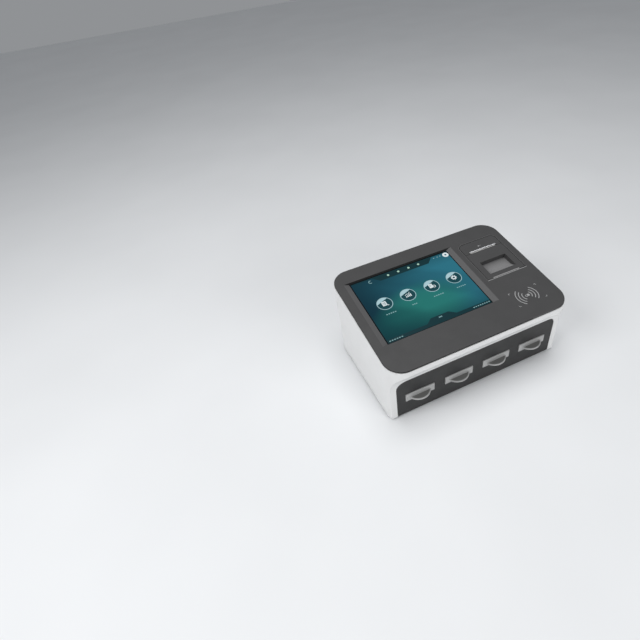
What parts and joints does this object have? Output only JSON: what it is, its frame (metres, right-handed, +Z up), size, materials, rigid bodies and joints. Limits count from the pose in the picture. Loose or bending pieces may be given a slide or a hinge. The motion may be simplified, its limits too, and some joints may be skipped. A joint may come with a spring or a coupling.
{
  "type": "rapid test reader",
  "caption": "Bench-top reader for rapid test cards: wedge casing, sloping touch screen, row of pull-out card trays under the front lip, and a strip printer under a hinged lid.",
  "frame": {"origin": "on the table, under the middle of the casing's width and depth", "axes": "+X to the reader's right, +Y to its back, +Z up; the deck slopes up towards the back"},
  "size_m": [0.3, 0.212, 0.1408],
  "materials": {
    "casing_white": "satin, fine moulded grain",
    "deck_dark": "matte, fine grain",
    "panel_dark": "satin",
    "tray_light": "satin",
    "tray_body": "satin",
    "black_plastic": "matte",
    "screen_glass": "polished",
    "display": "lit screen",
    "steel_sheet": "rolled sheet",
    "steel_bright": "ground",
    "steel_screw": "plated",
    "motor_metal": "satin",
    "board_green": "solder mask",
    "rubber_black": "matte",
    "gear_white": "natural",
    "paper": "smooth uncoated",
    "ceramic_head": "cast",
    "copper_flat": "flexible film"
  },
  "bodies": {
    "chassis": {"upper_casing": "casing_white", "base_plate": "black_plastic", "feet": "rubber_black", "base_screws": "steel_screw", "front_panel": "panel_dark", "deck_plate": "deck_dark", "deck_screws": "steel_screw", "touch_glass": "screen_glass", "display_panel": "display", "display_bracket": "steel_sheet", "display_cable": "copper_flat", "tray_rack": "tray_body", "rack_cover": "black_plastic", "inner_screws": "steel_screw", "scan_end_plates": "steel_sheet", "scan_rails": "steel_bright", "scan_motor": "motor_metal", "printer_frame": "black_plastic", "lid_hinge_pins": "steel_bright", "printer_bezel": "deck_dark", "tear_bar": "steel_bright", "printer_motor": "motor_metal", "thermal_head": "ceramic_head", "head_springs": "steel_bright", "paper_strip": "paper", "paper_spindle": "black_plastic", "rear_panel": "black_plastic", "lan_socket": "steel_bright", "usb_sockets": "steel_bright", "dc_jack": "black_plastic", "switch_body": "black_plastic", "fan_frame": "black_plastic", "main_board": "board_green", "board_parts": "black_plastic", "supply_case": "steel_sheet", "supply_board": "board_green", "speaker": "black_plastic", "card_antenna": "board_green"},
    "tray_1": {"tray_1_front": "tray_light", "tray_1_carrier": "tray_body"},
    "tray_2": {"tray_2_front": "tray_light", "tray_2_carrier": "tray_body"},
    "tray_3": {"tray_3_front": "tray_light", "tray_3_carrier": "tray_body"},
    "tray_4": {"tray_4_front": "tray_light", "tray_4_carrier": "tray_body"},
    "printer_lid": {"printer_lid": "deck_dark"},
    "platen": {"platen_shaft": "steel_bright", "platen_sleeve": "rubber_black", "platen_gear": "gear_white"},
    "idler": {"idler_gear": "gear_white"},
    "pinion": {"motor_pinion": "gear_white"},
    "paper_roll": {"paper_roll": "paper"},
    "scan_carriage": {"scan_carriage": "black_plastic", "scan_lens": "black_plastic", "scan_board": "board_green"},
    "lead_screw": {"lead_screw": "steel_bright"},
    "fan_rotor": {"fan_rotor": "black_plastic"},
    "power_rocker": {"power_rocker": "black_plastic"}
  },
  "joints": [
    {"name": "tray_1_slide", "type": "slide", "parent": "chassis", "child": "tray_1", "axis": [0, -1, 0], "range_m": [0, 0.07]},
    {"name": "tray_2_slide", "type": "slide", "parent": "chassis", "child": "tray_2", "axis": [0, -1, 0], "range_m": [0, 0.07]},
    {"name": "tray_3_slide", "type": "slide", "parent": "chassis", "child": "tray_3", "axis": [0, -1, 0], "range_m": [0, 0.07]},
    {"name": "tray_4_slide", "type": "slide", "parent": "chassis", "child": "tray_4", "axis": [0, -1, 0], "range_m": [0, 0.07]},
    {"name": "lid_hinge", "type": "hinge", "parent": "chassis", "child": "printer_lid", "pos_m": [0.1015, -0.01049, 0.12128], "axis": [1, 0, 0], "range_deg": [0, 80]},
    {"name": "platen_spin", "type": "hinge", "parent": "printer_lid", "child": "platen", "pos_m": [0.1015, 0.04252, 0.12141], "axis": [1, 0, 0], "continuous": true},
    {"name": "idler_spin", "type": "hinge", "parent": "chassis", "child": "idler", "pos_m": [0.1345, 0.04256, 0.10281], "axis": [1, 0, 0], "continuous": true},
    {"name": "pinion_spin", "type": "hinge", "parent": "chassis", "child": "pinion", "pos_m": [0.1345, 0.0592, 0.10517], "axis": [1, 0, 0], "continuous": true},
    {"name": "paper_roll_spin", "type": "hinge", "parent": "chassis", "child": "paper_roll", "pos_m": [0.1015, 0.02523, 0.09725], "axis": [1, 0, 0], "continuous": true},
    {"name": "scan_slide", "type": "slide", "parent": "chassis", "child": "scan_carriage", "axis": [1, 0, 0], "range_m": [0, 0.1992]},
    {"name": "lead_screw_spin", "type": "hinge", "parent": "chassis", "child": "lead_screw", "pos_m": [0, -0.0437, 0.06108], "axis": [1, 0, 0], "continuous": true},
    {"name": "fan_spin", "type": "hinge", "parent": "chassis", "child": "fan_rotor", "pos_m": [-0.02, 0.097, 0.084], "axis": [0, 1, 0], "continuous": true},
    {"name": "rocker_tilt", "type": "hinge", "parent": "chassis", "child": "power_rocker", "pos_m": [0.048, 0.099, 0.032], "axis": [1, 0, 0], "range_deg": [0, 16]}
  ],
  "couplings": [
    {"joint": "platen_spin", "follows": "paper_roll_spin", "ratio": 4.4444},
    {"joint": "idler_spin", "follows": "paper_roll_spin", "ratio": -1.8182},
    {"joint": "pinion_spin", "follows": "paper_roll_spin", "ratio": 6.6667},
    {"joint": "lead_screw_spin", "follows": "scan_slide", "rad_per_m": 785.4}
  ]
}
